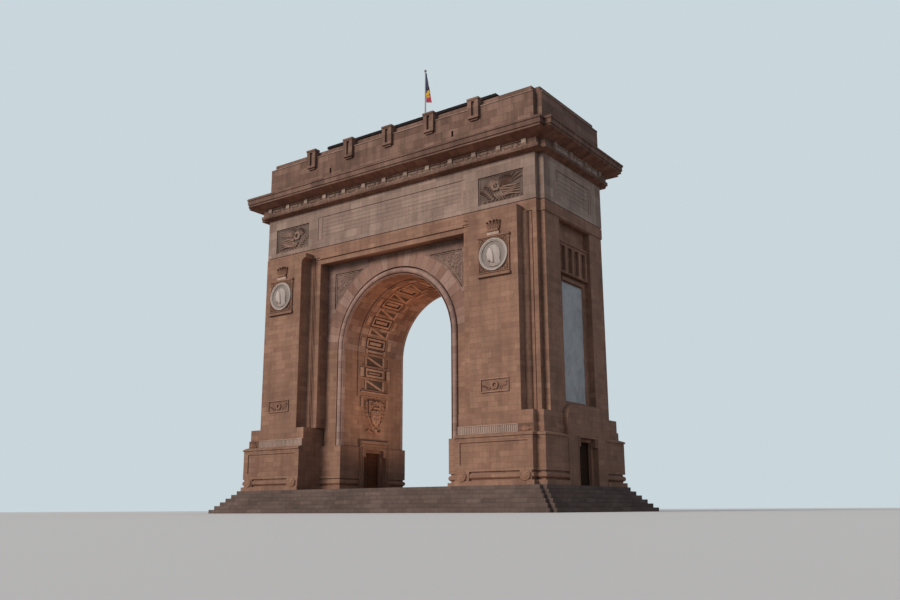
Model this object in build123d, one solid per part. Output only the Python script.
"""Stone triumphal arch with one tall vaulted passage, two hollow piers and a roof terrace.

Millimetres, +Z up. The origin is on the ground at the centre of the plan.
X runs along the long front, the front faces -Y, and everything mirrors about X = 0 and Y = 0.
"""
import os
from math import cos, radians, sin

from build123d import *

# plan, as half lengths along X and half depths along Y
wall_half_length = 12430
wall_half_depth = 4400
wall_notch = 400
band_recess = 60
wall_thickness = 1200
parapet_thickness = 700
parapet_setback = 230
slab_proud = 860
slab_half_depth = wall_half_depth + slab_proud
blocking_proud = 90
blocking_half_depth = slab_half_depth + blocking_proud
dado_end_proud = 290
dado_face_proud = 390
dado_half_length = wall_half_length + dado_end_proud
dado_half_depth = blocking_half_depth + dado_face_proud
dado_notch_length = 600
dado_notch_depth = 450
dado_notch = (dado_notch_length, dado_notch_depth)
blocking_notch = 450
step_notch = 300
tread = 270
first_tread = 180

# arch and passage, in plan
arch_radius = 4780
vault_thickness = 1520
field_width = 1670
recess_half_width = arch_radius + field_width
field_depth = 950
recess_half_depth = wall_half_depth - field_depth
spandrel_thickness = 900
frame_band = 380
frame_step = 100
passage_wall = 600
room_inner_x = recess_half_width + passage_wall
roll_width = 560
roll_rise = 130
roll_bed_depth = 250
crown_half_angle = 22.5
stone_angle = 2.5
coffer_count = 9
coffer_length = 860
coffer_half_width = 1130
coffer_depth = 160
coffer_strip_half = 1480
strip_band = 420
strip_rise = 70
strip_rail = 150
strip_rows = 3
jamb_plinth_proud = 100
jamb_plinth_x = arch_radius - jamb_plinth_proud
jamb_plinth_half_depth = recess_half_depth + 190
plinth_inner_x = recess_half_width + 200

# heights of the courses, from the ground up
step_count = 6
step_rise = 260
platform_top = step_count * step_rise
base_slab_height = 270
base_groove = 90
roll_height = 370
dado_height = 2840
dado_top = platform_top + dado_height
dado_cap_height = 220
dado_cap_proud = 70
lining_top = dado_top + dado_cap_height
fluted_band_height = 490
blocking_height = 790
pier_foot = lining_top + fluted_band_height + blocking_height
shaft_height = 5630
spring_height = pier_foot + shaft_height
crown_cover = 1630
recess_top = spring_height + arch_radius + crown_cover
string_gap = 510
string_bottom = recess_top + string_gap
string_height = 720
frieze_bottom = string_bottom + string_height
frieze_height = 3100
frieze_top = frieze_bottom + frieze_height
bed_height = 850
soffit_foot = frieze_top + bed_height
soffit_lean = 300
soffit_height = soffit_foot + soffit_lean
soffit_edge = 150
fascia_bottom = soffit_height + soffit_edge
fascia_height = 520
cornice_top = fascia_bottom + fascia_height
roof_rise = 860
roof_level = cornice_top + roof_rise
roof_slab_thickness = 350
ledge_rise = 2530
ledge_height = cornice_top + ledge_rise
parapet_rise = 380
parapet_top = ledge_height + parapet_rise
housing_height = 3150
housing_top = roof_level + housing_height
coping_height = 250
pole_length = 5250
pole_top = housing_top + coping_height + pole_length

# plinth panels and flutes
panel_drop = 290
plinth_panel_top = dado_top - panel_drop
plinth_panel_height = 1340
plinth_panel_bottom = plinth_panel_top - plinth_panel_height
panel_margin = 350
panel_sink = 70
flute_pitch = 150
flute_size = 70
flute_end_margin = 60
inner_block_width = 1050
outer_block_width = 780
outer_block_inset = 100

# pilaster slabs
slab_inner_x = recess_half_width + 1040
slab_outer_x = wall_half_length - 1310
slab_top = string_bottom + 290
slab_cove = 330
inner_cove_width = 110
inner_cove_radius = 1500
slab_head_height = 330
slab_head_overhang = 400
slab_head_inner = slab_inner_x - slab_head_overhang
groove_width = 90
groove_depth = 70
corner_strip = 290

# medallions
medallion_x = (slab_inner_x + slab_outer_x) / 2 + 115
medallion_z = string_bottom - 2730
medallion_radius = 1050
medallion_sides = 48
medallion_rim = 150
medallion_frame_half = 1150
medallion_frame_proud = 60
medallion_proud = 120
medallion_dish = 40
medallion_ledge = 170
medallion_ledge_height = 170

# crown above each medallion and low panel at the foot of each slab
shelf_height = 120
crown_base_half = 450
crown_base_height = 220
crown_half_width = 500
crown_height = 760
crown_proud = 110
foot_panel_half_width = 1020
foot_panel_bottom = pier_foot + 1200
foot_panel_height = 850
foot_panel_proud = 50

# frieze panels
relief_inner_x = recess_half_width + 1250
relief_outer_x = wall_half_length - 1280
relief_bottom = frieze_bottom + 350
relief_top = frieze_bottom + 2250
relief_sink = 140
text_panel_half = recess_half_width + 290
text_panel_bottom = frieze_bottom + 660
text_panel_top = frieze_bottom + 2430
text_panel_sink = 50
end_text_half = 2480
end_text_bottom = frieze_bottom + 550

# end walls
end_recess_half = 2100
end_recess_bottom = pier_foot + 700
end_recess_top = string_bottom - 80
end_recess_depth = 480
slot_count = 4
slot_pitch = 920
slot_width = 480
slot_height = 1650
slot_top = string_bottom - 1700
slot_bottom = slot_top - slot_height
slot_frame_half = 1960
slot_frame_proud = 260
slot_sill = 180
slot_lintel = 330
window_floor = slot_bottom - 850
floor_thickness = 300
plaque_half_width = 1360
plaque_bottom = end_recess_bottom + 130
plaque_top = slot_bottom - 600
plaque_thickness = 60
hood_height = 200
hood_proud = 200
hood_overhang = 120

# doorways
end_surround_half = 2550
end_surround_top = pier_foot + 550
end_surround_proud = 330
surround_face_x = wall_half_length + end_surround_proud
surround_shoulder = 950
passage_surround_half = 1640
passage_surround_top = lining_top + 450
passage_surround_face = jamb_plinth_x - 80
passage_frame_width = 190
passage_frame_proud = 60
door_half_width = 1000
door_height = 2740
door_stop = 60
door_setback = 520
leaf_thickness = 90
leaf_rail = 130
leaf_panel_sink = 20
moving_gap = 6
meeting_gap = 10
stop_gap = 12
pivot_radius = 25
pivot_length = 40
pivot_sides = 16
pivot_play = 1
seat_gap = 0.3
portal_half_width = 1260
portal_height = door_height + 140
portal_depth = 300
corbel_drop = 520

# strip and hanging shield on the passage walls
coffer_foot = spring_height - 2830
spandrel_margin = 1660
spandrel_sink_depth = 90
shield_half_width = 700
shield_top = coffer_foot - 650
shield_shoulder = 1150
shield_height = 2150
shield_proud = 150

# cornice brackets and attic consoles
cornice_overhang = 1330
cornice_notch = 500
bed_out = 430
soffit_out = 1200
bracket_pitch = 1920
bracket_count = 13
end_bracket_pitch = 2120
end_bracket_count = 4
bracket_width = 330
bracket_foot = soffit_foot - 420
bracket_bottom = soffit_foot - 260
bracket_proud = 150
console_places = (-7500, -3740, 0, 3740, 7500)
console_width = 860
console_slot = 250
console_bottom = ledge_height - 1000
console_top = parapet_top + 190
console_proud = 240
console_cap_height = 140
console_cap_out = 40
console_foot_height = 160
console_drop_height = 120
console_drop_inset = 120
scupper_width = 160
scupper_height = 420
scupper_places = (-5650, 5650)

# roof housing, flagpole and flag
housing_half_length = 7800
housing_half_depth = 2250
housing_wall = 400
coping_overhang = 150
coping_chamfer = 40
pole_radius = 70
pole_taper = 0.6
pole_sides = 12
pole_foot_radius = 170
pole_foot_height = 160
finial_radius = 110
flag_top = pole_top - 250
flag_drop = 2850
flag_hoist = 1500
flag_width = 620
flag_shoulder = 900
flag_head = 160
flag_thickness = 150


def block(x0, x1, y0, y1, z0, z1):
    """Box between two corners."""
    return Pos((x0 + x1) / 2, (y0 + y1) / 2, (z0 + z1) / 2) * Box(abs(x1 - x0), abs(y1 - y0), abs(z1 - z0))


def notch_sizes(notch):
    """Length and depth of a corner notch, given as one number if they are the same."""
    return notch if isinstance(notch, tuple) else (notch, notch)


def notched_plan(half_length, half_depth, notch):
    """Rectangle whose four corners are cut back by a notch."""
    across, deep = notch_sizes(notch)
    return Rectangle(2 * half_length, 2 * (half_depth - deep)) + Rectangle(2 * (half_length - across), 2 * half_depth)


def course(half_length, half_depth, notch, z0, z1):
    """Plain course of stone over the whole plan."""
    return Pos(0, 0, z0) * extrude(notched_plan(half_length, half_depth, notch), z1 - z0)


def skin(outlines):
    """Solid with flat faces through a row of outlines that all have the same number of corners."""
    faces = [Face(Wire.make_polygon(outline)) for outline in (outlines[0], outlines[-1])]
    for low, high in zip(outlines, outlines[1:]):
        for i in range(len(low)):
            faces.append(Face(Wire.make_polygon([low[i - 1], low[i], high[i], high[i - 1]])))
    return Solid(Shell(faces))


def notched_corners(half_length, half_depth, notch, z):
    """The twelve corners of a notched rectangle at one height, in order round it."""
    across, deep = notch_sizes(notch)
    quarter = [(half_length, half_depth - deep), (half_length - across, half_depth - deep),
               (half_length - across, half_depth)]
    half = quarter + [(-x, y) for x, y in reversed(quarter)]
    return [(x, y, z) for x, y in half + [(-x, -y) for x, y in half]]


def sloped_course(lower, upper, lower_notch, upper_notch, z0, z1):
    """Course whose faces lean from one plan size to another."""
    return skin([notched_corners(*lower, lower_notch, z0), notched_corners(*upper, upper_notch, z1)])


def roll_profile(height):
    """Eight-sided half round moulding as (height, distance in from its face) pairs."""
    return ((0, height * 0.42), (height * 0.1, height * 0.18), (height * 0.3, 0), (height * 0.7, 0),
            (height * 0.9, height * 0.18), (height, height * 0.42))


def rolled_course(half_length, half_depth, notch, z0, z1):
    """Course with a half round face, as a torus moulding has."""
    return skin([notched_corners(half_length - back, half_depth - back, notch, z0 + up)
                 for up, back in roll_profile(z1 - z0)])


def mirrored(shape, across_x, across_y):
    """Copy of a shape on another quarter of the plan."""
    if across_x:
        shape = mirror(shape, about=Plane.YZ)
    if across_y:
        shape = mirror(shape, about=Plane.XZ)
    return shape


def export(name, *solids):
    """Write one node, made of one or more solids that don't touch."""
    found = []
    for shape in solids:
        found += shape.solids()
    whole = found[0] if len(found) == 1 else Compound(children=found)
    export_step(whole, f"parts/{name}.step")


def both_ends(*shapes):
    """The shapes of the right end with their mirror images at the left end."""
    return list(shapes) + [mirrored(shape, True, False) for shape in shapes]


def both_faces(*shapes):
    """The shapes of the front with their mirror images at the back."""
    return list(shapes) + [mirrored(shape, False, True) for shape in shapes]


def four_corners(*shapes):
    """The shapes of the front right quarter on all four quarters."""
    return both_ends(*both_faces(*shapes))


def steps():
    """Six steps all round, two to a layer of stone."""
    reach = first_tread + (step_count - 1) * tread
    sockets = [pivot_prism(x, y, platform_top - pivot_length - seat_gap, platform_top + pivot_length,
                           pivot_radius + pivot_play) for x, y in pivot_places()]
    for layer, name in enumerate(("lower_steps", "middle_steps", "upper_steps")):
        z0 = 2 * layer * step_rise
        out = reach - 2 * layer * tread
        low = course(dado_half_length + out, dado_half_depth + out, step_notch, z0, z0 + step_rise)
        high = course(dado_half_length + out - tread, dado_half_depth + out - tread, step_notch,
                      z0 + step_rise, z0 + 2 * step_rise)
        layer_stone = low + high
        if name == "upper_steps":
            layer_stone = layer_stone - sockets
        export(name, layer_stone)


def plinth_mass():
    """Outer form of both plinths before they are hollowed and split."""
    roll_bottom = platform_top + base_slab_height + base_groove
    roll_top = roll_bottom + roll_height
    groove_in = 120
    dado_bottom = roll_top + base_groove
    cap_top = lining_top
    band_top = cap_top + fluted_band_height
    cap_proud = dado_cap_proud
    band_half_depth = blocking_half_depth + 90
    length = dado_half_length
    depth = dado_half_depth
    mass = course(length, depth, dado_notch, dado_bottom, dado_top)
    mass += course(length + 90, depth + 90, dado_notch, platform_top, platform_top + base_slab_height)
    mass += course(length - groove_in, depth - groove_in, dado_notch, platform_top, dado_bottom)
    mass += rolled_course(length + 20, depth + 20, dado_notch, roll_bottom, roll_top)
    mass += course(length + cap_proud, depth + cap_proud, dado_notch, dado_top, dado_top + dado_cap_height / 2)
    mass += sloped_course((length + cap_proud, depth + cap_proud), (wall_half_length + 90, band_half_depth + 60),
                          dado_notch, blocking_notch, dado_top + dado_cap_height / 2, cap_top)
    mass += course(wall_half_length + 60, band_half_depth, blocking_notch, cap_top, band_top)
    mass += course(wall_half_length, blocking_half_depth, blocking_notch, band_top, pier_foot)
    return mass


def passage_plinth_mass():
    """Lower plinth that lines the passage and carries the arch."""
    roll_bottom = platform_top + base_slab_height + base_groove
    roll_top = roll_bottom + roll_height
    groove_in = 100
    inner = jamb_plinth_x
    deep = jamb_plinth_half_depth
    cap_top = lining_top
    mass = block(inner, room_inner_x, -deep, deep, roll_top + base_groove, cap_top)
    mass += block(inner - 60, room_inner_x, -deep - 60, deep + 60, platform_top, platform_top + base_slab_height)
    mass += block(inner + groove_in, room_inner_x, -deep + groove_in, deep - groove_in, platform_top, cap_top)
    outlines = []
    for up, back in roll_profile(roll_height):
        x = inner - 20 + back
        y = deep + 20 - back
        z = roll_bottom + up
        outlines.append([(x, -y, z), (room_inner_x, -y, z), (room_inner_x, y, z), (x, y, z)])
    return mass + skin(outlines)


def corner_blocks():
    """Square blocks that stop the roll moulding at both ends of each front."""
    roll_bottom = platform_top + base_slab_height
    height = roll_height + 2 * base_groove
    deep = dado_half_depth + 40
    outer = dado_half_length - dado_notch_length - outer_block_inset
    return [block(x0, x1, -deep, -deep + 400, roll_bottom, roll_bottom + height)
            for x0, x1 in ((plinth_inner_x, plinth_inner_x + inner_block_width), (outer - outer_block_width, outer))]


def flutes():
    """Upright V-cut flutes of the band above the dado, as one row."""
    first = plinth_inner_x + 500
    last = wall_half_length - blocking_notch - 900
    count = int((last - first) / flute_pitch)
    face = blocking_half_depth + 90
    cutter = Box(flute_size, flute_size, fluted_band_height - 2 * flute_end_margin)
    tool = Pos(0, -face, lining_top + fluted_band_height / 2) * Rot(0, 0, 45) * cutter
    return [Pos(first + i * flute_pitch, 0, 0) * tool for i in range(count + 1)]


def plinths():
    """Hollow plinth of each pier, split into walls beside its two doorways."""
    inner_y = wall_half_depth - wall_thickness
    inner_x = wall_half_length - wall_thickness
    top = pier_foot
    reach = dado_half_length + 500
    deep = dado_half_depth + 500
    mass = plinth_mass() & block(plinth_inner_x, reach, -deep, deep, 0, top)
    face = dado_half_depth
    lining_deep = jamb_plinth_half_depth
    panel = block(plinth_inner_x + panel_margin, dado_half_length - dado_notch_length - panel_margin, -face,
                  -face + panel_sink, plinth_panel_bottom, plinth_panel_top)
    front = mass & block(plinth_inner_x, reach, -deep, -inner_y, 0, top)
    front -= block(0, room_inner_x, -lining_deep, 0, 0, lining_top)
    front = front + corner_blocks() - panel - flutes()
    ends = mass & block(inner_x, reach, -inner_y, -end_surround_half, 0, top)
    side = passage_plinth_mass() & block(0, plinth_inner_x, -deep, -passage_surround_half, 0, top)
    side += block(plinth_inner_x, room_inner_x, -lining_deep, -passage_surround_half, platform_top, lining_top)
    over = block(inner_x, wall_half_length, -end_surround_half, end_surround_half, lining_top, top)
    export("plinth_long_walls", *four_corners(front))
    export("plinth_end_walls", *four_corners(ends))
    export("plinth_passage_walls", *four_corners(side))
    export("plinth_walls_over_doors", *both_ends(over))


def portal(face_x, inward):
    """Space cut through a surround: outer portal with corbelled corners, stops, and the door's own reveal."""
    z0 = platform_top
    door_top = z0 + door_height
    depth = inward * portal_depth
    stop_x = face_x + inward * door_setback
    far = face_x + inward * 6000
    outer = block(face_x - inward * 500, face_x + depth, -portal_half_width, portal_half_width, z0,
                  z0 + portal_height)
    corbel = corbel_drop / 2
    for hand in (-1, 1):
        stone = block(face_x - inward * 600, face_x + depth, hand * (portal_half_width - corbel),
                      hand * portal_half_width, z0 + portal_height - corbel_drop, z0 + portal_height)
        outer -= stone
    narrow = door_half_width - door_stop
    middle = block(face_x, stop_x, -narrow, narrow, z0, door_top - door_stop)
    wide = block(stop_x, far, -door_half_width - moving_gap, door_half_width + moving_gap, z0,
                 door_top + moving_gap)
    return outer + middle + wide


def pivot_prism(x, y, z0, z1, radius):
    """Upright sixteen-sided pin, or the socket cut for one."""
    return Pos(x, y, z0) * extrude(RegularPolygon(radius, pivot_sides), z1 - z0)


def pivot_holes(stop_x, inward):
    """Sockets for the upper pivots of the two leaves."""
    door_top = platform_top + door_height
    x = leaf_inner_face(stop_x, inward) - inward * pivot_radius
    return [pivot_prism(x, hand * (door_half_width - pivot_radius), door_top - pivot_length,
                        door_top + pivot_length + seat_gap, pivot_radius + pivot_play) for hand in (-1, 1)]


def leaf_inner_face(stop_x, inward):
    """Plane of the room side of a closed leaf."""
    return stop_x + inward * (stop_gap + leaf_thickness)


def door_frames():
    """Where each pair of leaves hangs: name, face of the surround and which way is inward."""
    return (("end", surround_face_x, -1), ("passage", passage_surround_face, 1))


def pivot_places():
    """Plan places of all eight door pivots."""
    places = []
    for _, face_x, inward in door_frames():
        x = leaf_inner_face(face_x + inward * door_setback, inward) - inward * pivot_radius
        for side_sign in (-1, 1):
            for hand in (-1, 1):
                places.append((side_sign * x, hand * (door_half_width - pivot_radius)))
    return places


def end_surround():
    """Block round the outer doorway, with rounded shoulders over the plinth."""
    half = end_surround_half
    wall_x = wall_half_length
    inner_x = wall_half_length - wall_thickness
    low_top = lining_top
    low = block(inner_x, surround_face_x, -half, half, platform_top, low_top)
    outline = Plane.YZ.offset(wall_x) * (Pos(0, (end_surround_top + dado_top) / 2)
                                         * Rectangle(2 * half, end_surround_top - dado_top))
    high = extrude(outline, surround_face_x - wall_x)
    shoulders = high.edges().filter_by(Axis.X).sort_by(Axis.Z)[-2:]
    high = fillet(shoulders, surround_shoulder)
    high = high & block(wall_x, surround_face_x, -half, half, low_top, end_surround_top)
    body = low + high
    stop_x = surround_face_x - door_setback
    return body - portal(surround_face_x, -1) - pivot_holes(stop_x, -1)


def passage_surround():
    """Framed block round the doorway that opens on the passage."""
    half = passage_surround_half
    low_top = lining_top
    body = block(passage_surround_face, room_inner_x, -half, half, platform_top, low_top)
    body += block(passage_surround_face, arch_radius, -half, half, low_top, passage_surround_top)
    body += block(passage_surround_face - passage_frame_proud, arch_radius, -half, half,
                  passage_surround_top - passage_frame_width, passage_surround_top)
    stop_x = passage_surround_face + door_setback
    return body - portal(passage_surround_face, 1) - pivot_holes(stop_x, 1)


def surrounds():
    """The four doorways, each with its jambs apart from the head they carry."""
    split = platform_top + door_height - door_stop
    reach = dado_half_length + 500
    for place, body in (("end", end_surround()), ("passage", passage_surround())):
        lower = body & block(0, reach, -reach, reach, 0, split)
        upper = body & block(0, reach, -reach, reach, split, frieze_bottom)
        export(f"{place}_doorway_jambs", *both_ends(lower))
        export(f"{place}_doorway_heads", *both_ends(upper))


def door_leaf(face_x, inward, hand):
    """One leaf of a pair, with sunk panels and a pivot pin at top and bottom."""
    inner = leaf_inner_face(face_x + inward * door_setback, inward)
    outer = inner - inward * leaf_thickness
    z0 = platform_top + moving_gap
    z1 = platform_top + door_height
    near = hand * meeting_gap / 2
    far = hand * door_half_width
    leaf = block(outer, inner, near, far, z0, z1)
    heel = leaf.edges().filter_by(Axis.Z).filter_by_position(Axis.X, inner - 1, inner + 1)
    leaf = fillet(heel.sort_by(Axis.Y)[-1 if hand > 0 else 0], pivot_radius - 0.5)
    rail = leaf_rail
    sink = leaf_panel_sink
    panel_height = (z1 - z0 - 4 * rail) / 3
    for i in range(3):
        low = z0 + rail + i * (panel_height + rail)
        for plane in (outer, inner - inward * sink):
            leaf -= block(plane, plane + inward * sink, near + hand * rail, far - hand * rail, low,
                          low + panel_height)
    pin_x = inner - inward * pivot_radius
    pin_y = hand * (door_half_width - pivot_radius)
    leaf += pivot_prism(pin_x, pin_y, platform_top - pivot_length, z0 + pivot_length, pivot_radius)
    leaf += pivot_prism(pin_x, pin_y, z1 - pivot_length, z1 + pivot_length, pivot_radius)
    return leaf


def doors():
    """Eight leaves: two in each of the four doorways."""
    for place, face_x, inward in door_frames():
        for hand, hand_name in ((-1, "front"), (1, "back")):
            leaf = door_leaf(face_x, inward, hand)
            export(f"right_{place}_door_{hand_name}_leaf", leaf)
            export(f"left_{place}_door_{hand_name}_leaf", mirrored(leaf, True, False))


def pier_shell():
    """Outer form of the pier shafts, with the wall set back under the string band."""
    low = course(wall_half_length - band_recess, wall_half_depth - band_recess, wall_notch, pier_foot, string_bottom)
    band = course(wall_half_length, wall_half_depth, wall_notch, string_bottom, frieze_bottom)
    return low + band


def frame_bands():
    """Raised upright bands beside the recessed arch field, and the strip at the outer corner."""
    flat = wall_half_depth - band_recess
    face = wall_half_depth
    inner = recess_half_width + frame_band
    bands = [block(inner + 240, inner + 240 + 300, -face, -flat, pier_foot, string_bottom)]
    corner = wall_half_length - wall_notch
    bands.append(block(corner - corner_strip, corner, -face, -flat, pier_foot, string_bottom))
    return bands


def pier_walls():
    """Front, back, end and passage walls of each hollow pier."""
    inner_y = wall_half_depth - wall_thickness
    inner_x = wall_half_length - wall_thickness
    reach = wall_half_length + 100
    deep = wall_half_depth + 100
    shell = pier_shell()
    front = shell & block(recess_half_width, reach, -deep, -inner_y, pier_foot, frieze_bottom)
    front += frame_bands()
    band_edge = recess_half_width + frame_band
    front -= block(recess_half_width, band_edge, -deep, -wall_half_depth + frame_step, pier_foot,
                   recess_top + frame_band)
    front -= block(band_edge + 70, band_edge + 70 + groove_width, -deep, -wall_half_depth + band_recess + groove_depth,
                   pier_foot, string_bottom)
    groove_x = wall_half_length - wall_notch - corner_strip - groove_width
    front -= block(groove_x, groove_x + groove_width, -deep, -wall_half_depth + band_recess + groove_depth,
                   pier_foot, string_bottom)
    export("pier_long_walls", *four_corners(front))
    end = shell & block(inner_x, reach, -inner_y, inner_y, pier_foot, frieze_bottom)
    recess_x = wall_half_length - end_recess_depth
    end -= block(recess_x, reach, -end_recess_half, end_recess_half, end_recess_bottom, end_recess_top)
    frame_x = recess_x + slot_frame_proud
    end += block(recess_x, frame_x, -slot_frame_half, slot_frame_half, slot_bottom - slot_sill,
                 slot_top + slot_lintel)
    hood_half = plaque_half_width + hood_overhang
    end += block(recess_x, recess_x + hood_proud, -hood_half, hood_half, plaque_top, plaque_top + hood_height)
    for i in range(slot_count):
        y = (i - (slot_count - 1) / 2) * slot_pitch
        end -= block(inner_x - 10, frame_x + 10, y - slot_width / 2, y + slot_width / 2, slot_bottom, slot_top)
    for name, z0, z1 in (("pier_end_walls", pier_foot, slot_bottom), ("window_posts", slot_bottom, slot_top),
                         ("pier_end_heads", slot_top, frieze_bottom)):
        export(name, *both_ends(end & block(inner_x, reach, -inner_y, inner_y, z0, z1)))
    lining_foot = lining_top
    passage = block(arch_radius, room_inner_x, -inner_y, inner_y, lining_foot, spring_height)
    bed = roll_bed()
    nose = block(arch_radius, recess_half_width, -recess_half_depth, -inner_y, lining_foot, spring_height)
    nose -= block(arch_radius, roll_bed_radius(), -recess_half_depth, -bed, lining_foot, spring_height)
    passage += both_faces(nose)
    passage += passage_strip() + [shield()]
    upper = block(recess_half_width, room_inner_x, -inner_y, inner_y, spring_height, frieze_bottom)
    export("pier_passage_walls", *both_ends(passage))
    export("walls_beside_vault", *both_ends(upper))


def passage_strip():
    """Raised bands and sunk panel field below the springing of the vault."""
    face = arch_radius - strip_rise
    bands = []
    for hand in (-1, 1):
        bands.append(block(face, arch_radius, hand * coffer_strip_half, hand * (coffer_strip_half + strip_band),
                           coffer_foot, spring_height))
    bands.append(block(face, arch_radius, -coffer_strip_half - strip_band, coffer_strip_half + strip_band,
                       coffer_foot - strip_band, coffer_foot))
    rail = strip_rail
    panel = (spring_height - coffer_foot - (strip_rows + 1) * rail) / strip_rows
    for i in range(strip_rows + 1):
        low = coffer_foot + i * (panel + rail)
        bands.append(block(face, arch_radius, -coffer_strip_half, coffer_strip_half, low, low + rail))
    return bands


def shield():
    """Plain hanging shield below the coffered strip."""
    half = shield_half_width
    side_foot = shield_top - shield_shoulder
    foot = shield_top - shield_height
    middle = side_foot - (side_foot - foot) * 0.65
    with BuildSketch(Plane.YZ.offset(arch_radius)) as outline:
        with BuildLine():
            Polyline((-half, shield_top), (half, shield_top), (half, side_foot))
            ThreePointArc((half, side_foot), (half * 0.69, middle), (0, foot))
            ThreePointArc((0, foot), (-half * 0.69, middle), (-half, side_foot))
            Line((-half, side_foot), (-half, shield_top))
        make_face()
    return extrude(outline.sketch, -shield_proud)


def pier_floors():
    """Built floor under the row of slot windows, one in each pier."""
    inner_y = wall_half_depth - wall_thickness
    inner_x = wall_half_length - wall_thickness
    floor = block(room_inner_x, inner_x, -inner_y, inner_y, window_floor - floor_thickness,
                  window_floor)
    export("pier_floors", *both_ends(floor))


def pilasters():
    """Broad slabs on the piers, with hollow feet against the wall and a head under the frieze."""
    face = slab_half_depth
    flat = wall_half_depth - band_recess
    with BuildSketch() as plan:
        with BuildLine():
            Polyline((slab_inner_x, -face), (slab_outer_x, -face), (slab_outer_x, -flat - slab_cove))
            RadiusArc((slab_outer_x, -flat - slab_cove), (slab_outer_x + slab_cove, -flat), -slab_cove)
            Line((slab_outer_x + slab_cove, -flat), (slab_inner_x - inner_cove_width, -flat))
            RadiusArc((slab_inner_x - inner_cove_width, -flat), (slab_inner_x, -face), inner_cove_radius)
        make_face()
    shaft = Pos(0, 0, pier_foot) * extrude(plan.sketch, string_bottom - pier_foot)
    middle = (slab_inner_x + slab_outer_x) / 2
    shaft += block(middle - foot_panel_half_width, middle + foot_panel_half_width, -face - foot_panel_proud, -face,
                   foot_panel_bottom, foot_panel_bottom + foot_panel_height)
    wall_face = wall_half_depth
    upper = block(slab_inner_x, slab_outer_x, -face, -wall_face, string_bottom, slab_top)
    overhang = slab_head_overhang
    shoulder = slab_top - slab_head_height
    foot = shoulder - overhang
    root = slab_inner_x + 2 * inner_cove_width
    bend = overhang * cos(radians(45))
    with BuildSketch(Plane.XZ.offset(wall_face)) as bracket:
        with BuildLine():
            Polyline((slab_inner_x, foot), (root, foot), (root, slab_top), (slab_head_inner, slab_top),
                     (slab_head_inner, shoulder))
            ThreePointArc((slab_head_inner, shoulder), (slab_head_inner + bend, foot + bend), (slab_inner_x, foot))
        make_face()
    head = extrude(bracket.sketch, face - wall_face)
    stone = shaft + upper + head
    split = foot
    export("pilasters", *four_corners(stone & block(0, wall_half_length, -face, 0, 0, split)))
    export("pilaster_heads", *four_corners(stone & block(0, wall_half_length, -face, 0, split, slab_top)))


def medallions():
    """Round raised shields in square frames over a small ledge, one on each pilaster."""
    face = slab_half_depth
    half = medallion_frame_half
    centre = Pos(medallion_x, 0, medallion_z)
    frame = centre * block(-half, half, -face - medallion_frame_proud, -face, -half, half)
    turned = Plane.XZ.offset(face) * Pos(medallion_x, medallion_z)
    disc = extrude(turned * RegularPolygon(medallion_radius, medallion_sides), medallion_proud)
    hollow = extrude(turned * RegularPolygon(medallion_radius - medallion_rim, medallion_sides), medallion_proud)
    dish = Pos(0, medallion_dish - medallion_proud, 0) * hollow
    ledge_top = -half - 60
    ledge = centre * block(-half - 60, half + 60, -face - medallion_ledge, -face,
                           ledge_top - medallion_ledge_height, ledge_top)
    under = centre * block(-half, half, -face - medallion_frame_proud, -face, ledge_top, -half)
    shelf = centre * block(-half - 60, half + 60, -face - medallion_ledge, -face, half, half + shelf_height)
    export("medallions", *four_corners(frame + disc - dish + ledge + under + shelf + crown()))


def crown():
    """Crown of five points on a small block over the shelf of a medallion."""
    foot = medallion_z + medallion_frame_half + shelf_height
    base_top = foot + crown_base_height
    half = crown_half_width
    top = base_top + crown_height
    base = Pos(medallion_x, 0, 0) * block(-crown_base_half, crown_base_half, -slab_half_depth - crown_proud,
                                          -slab_half_depth, foot, base_top)
    side = [(half * 0.72, base_top), (half, top - crown_height * 0.2), (half * 0.62, base_top + crown_height * 0.42),
            (half * 0.46, top - crown_height * 0.12), (half * 0.22, base_top + crown_height * 0.42)]
    outline = side + [(0, top)] + [(-x, z) for x, z in reversed(side)]
    points = make_face(Plane.XZ.offset(slab_half_depth) * Pos(medallion_x, 0) * Polyline(*outline, close=True))
    return base + extrude(points, crown_proud, dir=(0, -1, 0))


def plaques():
    """Marble tablet in the recess of each end wall."""
    x = wall_half_length - end_recess_depth
    tablet = block(x, x + plaque_thickness, -plaque_half_width, plaque_half_width, plaque_bottom, plaque_top)
    export("end_tablets", *both_ends(tablet))


def stone_joints(first, last):
    """Angles of the joints between the arch stones from one angle to another, both ends included."""
    inside = [i * stone_angle for i in range(round(360 / stone_angle)) if first + 0.01 < i * stone_angle < last - 0.01]
    return [first] + inside + [last]


def on_ring(radius, angle):
    """Point (x, z) at an angle from the right springing."""
    return (radius * cos(radians(angle)), spring_height + radius * sin(radians(angle)))


def ring(inner_radius, outer_radius, y0, y1, first, last):
    """Part of an arch ring between two angles, with one flat face to each stone."""
    angles = stone_joints(first, last)
    outline = [on_ring(outer_radius, angle) for angle in angles]
    outline += [on_ring(inner_radius, angle) for angle in reversed(angles)]
    face = make_face(Plane.XZ * Polyline(*outline, close=True))
    return Pos(0, y1, 0) * extrude(face, y1 - y0, dir=(0, -1, 0))


def coffers(first, last):
    """Sunk panels along the crown strip of the vault, between two angles."""
    pitch = 180 / coffer_count
    tools = []
    for i in range(coffer_count):
        angle = (i + 0.5) * pitch
        if first < angle < last:
            swing = coffer_length / arch_radius / 2 * 57.3
            tools.append(ring(arch_radius - strip_rise - 5, arch_radius + coffer_depth, -coffer_half_width,
                              coffer_half_width, max(angle - swing, first), min(angle + swing, last)))
    return tools


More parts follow.
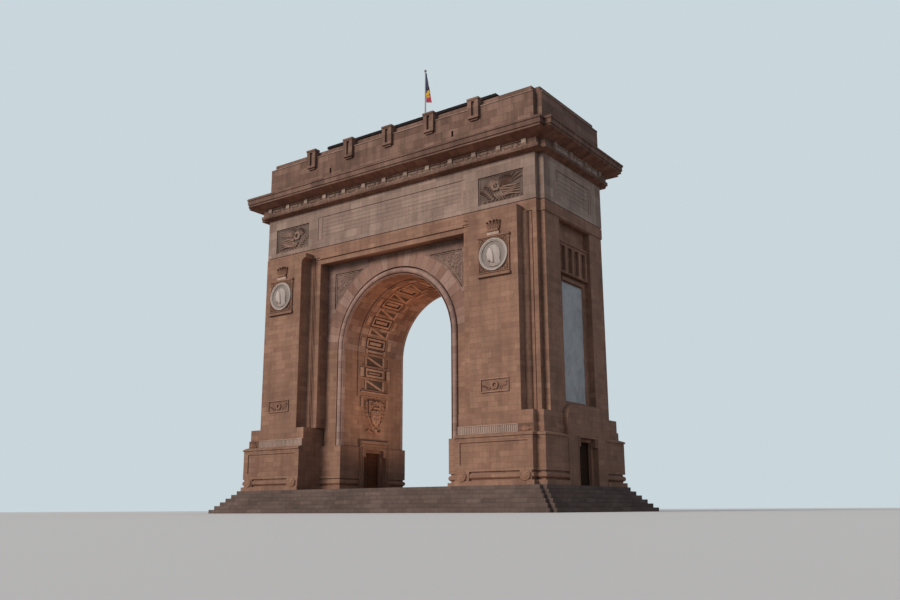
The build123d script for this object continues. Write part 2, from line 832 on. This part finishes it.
def vault():
    """Round barrel vault of the passage in rings of stone from springing to crown, with its coffered strip."""
    outer = arch_radius + vault_thickness
    deep = recess_half_depth
    bed = roll_bed()
    step = 90 - crown_half_angle
    limits = (0, step / 3, step * 2 / 3, step)
    names = ("vault_springers", "vault_haunches", "vault_shoulders")
    far = 2 * outer
    crown_stone = ring(arch_radius, far, -deep, deep, step, 180 - step) & block(-far, far, -deep, deep, 0, recess_top)
    stones = [(name, [vault_part(ring(arch_radius, outer, -deep, deep, first, last), first, last, bed)])
              for name, first, last in zip(names, limits, limits[1:])]
    for name, stone in stones:
        export(name, *both_ends(*stone))
    export("vault_crown", vault_part(crown_stone, step, 180 - step, bed))


def vault_part(stone, first, last, bed):
    """One angle of the vault with its raised strip, coffers and rebates for the arch rolls."""
    stone += ring(arch_radius - strip_rise, arch_radius + 100, -coffer_strip_half - strip_band,
                  coffer_strip_half + strip_band, first, last)
    stone -= coffers(first, last)
    front_bed = ring(arch_radius - 10, roll_bed_radius(), -recess_half_depth - 10, -bed, first - 1, last + 1)
    return stone - both_faces(front_bed)


def roll_bed_radius():
    """Radius of the rebate that the arch roll sits in."""
    return arch_radius + roll_width


def roll_bed():
    """Plane that the arch roll is let back to."""
    return recess_half_depth - roll_bed_depth


def roll_section():
    """Corners of the roll's section as (radius from the arch centre, depth from the centre plane)."""
    bed = roll_bed()
    face = recess_half_depth + roll_rise
    inner = arch_radius
    outer = roll_bed_radius()
    nib = roll_width * 0.16
    return ((inner, bed), (inner, face - 2.2 * nib), (inner + nib * 0.7, face - nib * 0.7), (inner + 2.2 * nib, face),
            (outer - 2.2 * nib, face), (outer - nib * 0.7, face - nib * 0.7), (outer, face - 2.2 * nib), (outer, bed))


def arch_rolls():
    """Rounded moulding round the opening on both faces, down to the plinth."""
    foot = dado_top + dado_cap_height
    section = roll_section()
    outlines = [[(r, -y, foot) for r, y in section]]
    for angle in stone_joints(0, 180)[::2]:
        places = [on_ring(r, angle) for r, y in section]
        outlines.append([(x, -y, z) for (x, z), (r, y) in zip(places, section)])
    outlines.append([(-r, -y, foot) for r, y in section])
    export("arch_rolls", *both_faces(skin(outlines)))


def spandrels():
    """Recessed walls over the haunches of the arch on each face."""
    outer = arch_radius + vault_thickness
    inner_y = recess_half_depth - spandrel_thickness
    wall = block(0, recess_half_width, -recess_half_depth, -inner_y, spring_height, recess_top)
    wall -= ring(outer / 2, outer, -2 * recess_half_depth, 0, 0, 90)
    wall -= block(0, outer * 0.6, -2 * recess_half_depth, 0, spring_height, spring_height + outer / 2)
    wall -= ring(outer / 2, 2 * outer, -recess_half_depth, 0, 90 - crown_half_angle, 90)
    wall -= spandrel_sink()
    export("spandrel_walls", *four_corners(wall))


def spandrel_sink():
    """Triangular sunk panel in one spandrel, its long side concentric with the arch."""
    radius = arch_radius + spandrel_margin
    corner_x = recess_half_width - 730
    corner_z = recess_top - 710
    joints = [on_ring(radius, angle) for angle in stone_joints(0, 90)]
    outline = [place for place in joints if place[0] < corner_x and place[1] < corner_z]
    first = (corner_x, spring_height + (radius ** 2 - corner_x ** 2) ** 0.5)
    last = ((radius ** 2 - (corner_z - spring_height) ** 2) ** 0.5, corner_z)
    face = make_face(Plane.XZ.offset(recess_half_depth) * Polyline(first, *outline, last, (corner_x, corner_z),
                                                                   close=True))
    return extrude(face, spandrel_sink_depth, dir=(0, 1, 0))


def frame_heads():
    """Straight head of the stepped frame, carrying the frieze over the arch."""
    inner_y = recess_half_depth - spandrel_thickness
    half = recess_half_width
    head = block(-half, half, -wall_half_depth + frame_step, -inner_y, recess_top, frieze_bottom)
    head += block(-half, half, -wall_half_depth, -inner_y, recess_top + frame_band, frieze_bottom)
    export("frame_heads", *both_faces(head))


def frieze():
    """Walls between string band and cornice, with sunk panels for reliefs and inscriptions."""
    inner_y = wall_half_depth - wall_thickness
    inner_x = wall_half_length - wall_thickness
    reach = wall_half_length + 100
    deep = wall_half_depth + 100
    groove = 60
    mass = course(wall_half_length, wall_half_depth, wall_notch, frieze_bottom + groove, frieze_top)
    mass += course(wall_half_length - groove, wall_half_depth - groove, wall_notch, frieze_bottom, frieze_top)
    front = mass & block(-reach, reach, -deep, -inner_y, frieze_bottom, frieze_top)
    face = wall_half_depth
    for hand in (-1, 1):
        front -= block(hand * relief_inner_x, hand * relief_outer_x, -deep, -face + relief_sink, relief_bottom,
                       relief_top)
    front -= block(-text_panel_half, text_panel_half, -deep, -face + text_panel_sink, text_panel_bottom,
                   text_panel_top)
    end = mass & block(inner_x, reach, -inner_y, inner_y, frieze_bottom, frieze_top)
    end -= block(wall_half_length - text_panel_sink, reach, -end_text_half, end_text_half, end_text_bottom,
                 text_panel_top)
    export("frieze_long_walls", *both_faces(front))
    export("frieze_end_walls", *both_ends(end))


def cornice_level(out, notch, z0, z1):
    """Upright course of the cornice, standing out from the wall by a given amount."""
    return course(wall_half_length + out, wall_half_depth + out, notch, z0, z1)


def cornice_slope(out_low, out_high, notch, z0, z1):
    """Leaning course of the cornice between two amounts of projection."""
    low = (wall_half_length + out_low, wall_half_depth + out_low)
    high = (wall_half_length + out_high, wall_half_depth + out_high)
    return sloped_course(low, high, notch, notch, z0, z1)


def cornice_mass():
    """Whole cornice: roll, carved band, leaning soffit and stepped fascia."""
    roll_bottom = frieze_top + 160
    notch = wall_notch
    mass = cornice_level(40, notch, frieze_top, cornice_top)
    mass += cornice_slope(40, bed_out - 60, notch, frieze_top + 60, roll_bottom)
    mass += cornice_level(bed_out, notch, roll_bottom, roll_bottom + 240)
    mass += cornice_level(bed_out - 90, notch, roll_bottom + 240, soffit_foot)
    mass += cornice_slope(bed_out - 40, soffit_out, notch, soffit_foot, soffit_height)
    mass += cornice_level(soffit_out, cornice_notch, soffit_height, fascia_bottom)
    mass += cornice_level(cornice_overhang - 60, cornice_notch, fascia_bottom, fascia_bottom + 330)
    mass += cornice_level(cornice_overhang, cornice_notch, fascia_bottom + 330, cornice_top - 60)
    mass += cornice_slope(cornice_overhang, cornice_overhang - 60, cornice_notch, cornice_top - 60, cornice_top)
    return mass


def cornice():
    """Cornice over all four sides, split into long sides and ends."""
    inner_y = wall_half_depth - wall_thickness
    inner_x = wall_half_length - wall_thickness
    reach = wall_half_length + cornice_overhang + 100
    deep = wall_half_depth + cornice_overhang + 100
    mass = cornice_mass()
    front = mass & block(-reach, reach, -deep, -inner_y, frieze_top, cornice_top)
    end = mass & block(inner_x, reach, -inner_y, inner_y, frieze_top, cornice_top)
    export("cornice_long_sides", *both_faces(front))
    export("cornice_ends", *both_ends(end))


def bracket_shape():
    """One cornice bracket: a block on the carved band with a hollow curved foot."""
    face = bed_out - 90
    proud = face + bracket_proud
    with BuildSketch(Plane.YZ) as outline:
        with BuildLine():
            Polyline((-face, bracket_foot), (-face, soffit_foot), (-proud, soffit_foot), (-proud, bracket_bottom))
            Line((-proud, bracket_bottom), (-face, bracket_foot))
        make_face()
    return Pos(-bracket_width / 2, 0, 0) * extrude(outline.sketch, bracket_width)


def brackets():
    """Brackets under the soffit, evenly spaced on all four sides."""
    shape = bracket_shape()
    solids = []
    for i in range(bracket_count):
        x = (i - (bracket_count - 1) / 2) * bracket_pitch
        solids += both_faces(Pos(x, -wall_half_depth, 0) * shape)
    for i in range(end_bracket_count):
        y = (i - (end_bracket_count - 1) / 2) * end_bracket_pitch
        solids += both_ends(Pos(wall_half_length, y, 0) * Rot(0, 0, 90) * shape)
    export("cornice_brackets", *solids)


def attic_mass():
    """Attic wall with its sloped ledge and set back parapet course."""
    low = course(wall_half_length, wall_half_depth, wall_notch, cornice_top, ledge_height - 60)
    slope = sloped_course((wall_half_length, wall_half_depth),
                          (wall_half_length - parapet_setback, wall_half_depth - parapet_setback), wall_notch,
                          wall_notch, ledge_height - 60, ledge_height)
    top = course(wall_half_length - parapet_setback, wall_half_depth - parapet_setback, wall_notch, ledge_height,
                 parapet_top)
    return low + slope + top


def attic():
    """Attic walls, which stand up as the parapet of the roof terrace."""
    inner_y = wall_half_depth - wall_thickness
    inner_x = wall_half_length - wall_thickness
    slab_bottom = roof_level - roof_slab_thickness
    terrace_y = wall_half_depth - parapet_thickness
    terrace_x = wall_half_length - parapet_thickness
    mass = attic_mass()
    mass -= block(-inner_x, inner_x, -inner_y, inner_y, 0, parapet_top + 1)
    mass -= block(-terrace_x, terrace_x, -terrace_y, terrace_y, slab_bottom, parapet_top + 1)
    reach = wall_half_length + 100
    front = mass & block(-reach, reach, -wall_half_depth - 100, -inner_y, 0, parapet_top + 1)
    for x in scupper_places:
        front -= block(x - scupper_width / 2, x + scupper_width / 2, -wall_half_depth - 100, -terrace_y + 100,
                       roof_level, roof_level + scupper_height)
    end = mass & block(inner_x, reach, -inner_y, inner_y, 0, parapet_top + 1)
    export("attic_long_walls", *both_faces(front))
    export("attic_end_walls", *both_ends(end))
    slab = block(-terrace_x, terrace_x, -terrace_y, terrace_y, slab_bottom, roof_level)
    export("roof_slab", slab)


def console_shape():
    """Attic console with a corbelled foot and an upright slot between two strips."""
    face = wall_half_depth
    half = console_width / 2
    back = wall_half_depth - parapet_setback
    strip_foot = console_bottom + console_drop_height
    body = block(-half, half, -face - console_proud, -face, strip_foot, console_top)
    body += block(-half + console_drop_inset, half - console_drop_inset, -face - console_proud / 2, -face,
                  console_bottom, console_top)
    body += block(-half, half, -face, -back, ledge_height, console_top)
    cap_half = half + console_cap_out
    body += block(-cap_half, cap_half, -face - console_proud - console_cap_out, -back, console_top - console_cap_height,
                  console_top)
    slot = block(-console_slot / 2, console_slot / 2, -face - console_proud - 100, -face - console_proud + 150,
                 strip_foot + console_foot_height, console_top - console_cap_height - 90)
    return body - slot


def consoles():
    """Five consoles on each long side of the attic."""
    shape = console_shape()
    body_cut = block(-2000, 2000, -wall_half_depth, 0, 0, ledge_height)
    shape -= body_cut
    solids = []
    for x in console_places:
        one = Pos(x, 0, 0) * shape
        solids += [one, mirrored(one, False, True)]
    export("attic_consoles", *solids)


def roof_housing():
    """Long low housing on the terrace with its metal coping."""
    shell = block(-housing_half_length, housing_half_length, -housing_half_depth, housing_half_depth, roof_level,
                  housing_top)
    hollow = block(-housing_half_length + housing_wall, housing_half_length - housing_wall,
                   -housing_half_depth + housing_wall, housing_half_depth - housing_wall, roof_level,
                   housing_top)
    export("roof_housing_walls", shell - hollow)
    out = coping_overhang
    top = block(-housing_half_length - out, housing_half_length + out, -housing_half_depth - out,
                housing_half_depth + out, housing_top, housing_top + coping_height)
    rims = top.edges().filter_by(Axis.Z, reverse=True)
    export("roof_housing_coping", chamfer(rims, coping_chamfer))


def pole_radius_at(z):
    """Radius of the tapered pole at a height."""
    z0 = housing_top + coping_height
    return pole_radius * (1 - (1 - pole_taper) * (z - z0) / (pole_top - z0 - finial_radius))


def flagpole():
    """Tapered pole with a foot plate and a ball on top."""
    z0 = housing_top + coping_height
    centre = pole_top - finial_radius
    profile = [(pole_foot_radius, z0), (pole_foot_radius, z0 + pole_foot_height), (pole_radius, z0 + pole_foot_height),
               (pole_radius * pole_taper, centre - finial_radius * 0.9)]
    profile += [(finial_radius * cos(radians(a)), centre + finial_radius * sin(radians(a)))
                for a in (-45, 0, 45, 75)]
    turns = [radians(360 * i / pole_sides) for i in range(pole_sides)]
    export("flagpole", skin([[(r * cos(a), r * sin(a), z) for a in turns] for r, z in profile]))


def flag():
    """Closed stand-in for the limp flag, hanging from the pole."""
    hoist_end = flag_top - flag_hoist
    top = pole_radius_at(flag_top) + seat_gap
    low = pole_radius_at(hoist_end) + seat_gap
    with BuildSketch(Plane.XZ) as outline:
        with BuildLine():
            Polyline((top, flag_top), (top + flag_head, flag_top), (flag_width, flag_top - flag_shoulder),
                     (flag_width * 0.8, flag_top - flag_drop), (low + 60, flag_top - flag_drop),
                     (low, hoist_end), close=True)
        make_face()
    export("flag", Pos(0, flag_thickness / 2, 0) * extrude(outline.sketch, flag_thickness))


os.makedirs("parts", exist_ok=True)
steps()
plinths()
surrounds()
doors()
pier_walls()
pier_floors()
pilasters()
medallions()
plaques()
vault()
arch_rolls()
spandrels()
frame_heads()
frieze()
cornice()
brackets()
attic()
consoles()
roof_housing()
flagpole()
flag()
